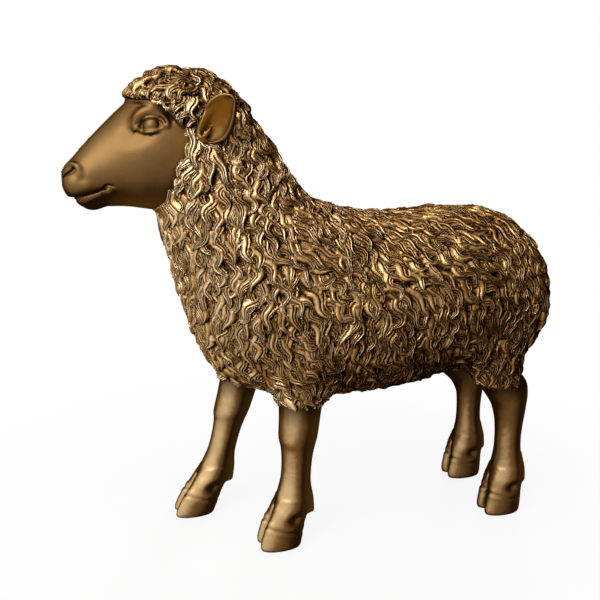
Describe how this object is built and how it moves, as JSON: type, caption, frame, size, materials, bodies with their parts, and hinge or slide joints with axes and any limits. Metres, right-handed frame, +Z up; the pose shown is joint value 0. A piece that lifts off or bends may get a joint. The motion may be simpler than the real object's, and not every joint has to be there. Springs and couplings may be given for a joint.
{
  "type": "sheep figurine",
  "caption": "Standing sheep ornament in antique gold: curled fleece, bare face and legs, cupped ears and cloven hooves on felt pads.",
  "frame": {"origin": "on the floor, midway between nose and tail and between the left and right sides", "axes": "+Z up, the sheep looks along -Y, its own left side is +X"},
  "size_m": [0.1764, 0.4851, 0.4573],
  "materials": {
    "fleece_gold": "cast resin fleece in metallic gold paint, dark wash in the hollows, rubbed bright on the ridges",
    "smooth_gold": "smooth cast resin in satin metallic gold paint with a thin brown patina",
    "rod_steel": "drawn steel rod",
    "pad_felt": "dark pressed felt",
    "bung_rubber": "soft moulded plug"
  },
  "bodies": {
    "root": {"trunk_casting": "fleece_gold", "neck_casting": "fleece_gold", "crown_fleece_casting": "fleece_gold", "tail_casting": "fleece_gold", "head_casting": "smooth_gold", "left_ear": "smooth_gold", "right_ear": "smooth_gold", "belly_bung": "bung_rubber", "front_left_leg": "smooth_gold", "front_left_leg_rod": "rod_steel", "front_left_hoof_pad": "pad_felt", "front_right_leg": "smooth_gold", "front_right_leg_rod": "rod_steel", "front_right_hoof_pad": "pad_felt", "rear_left_leg": "smooth_gold", "rear_left_leg_rod": "rod_steel", "rear_left_hoof_pad": "pad_felt", "rear_right_leg": "smooth_gold", "rear_right_leg_rod": "rod_steel", "rear_right_hoof_pad": "pad_felt"}
  },
  "joints": []
}
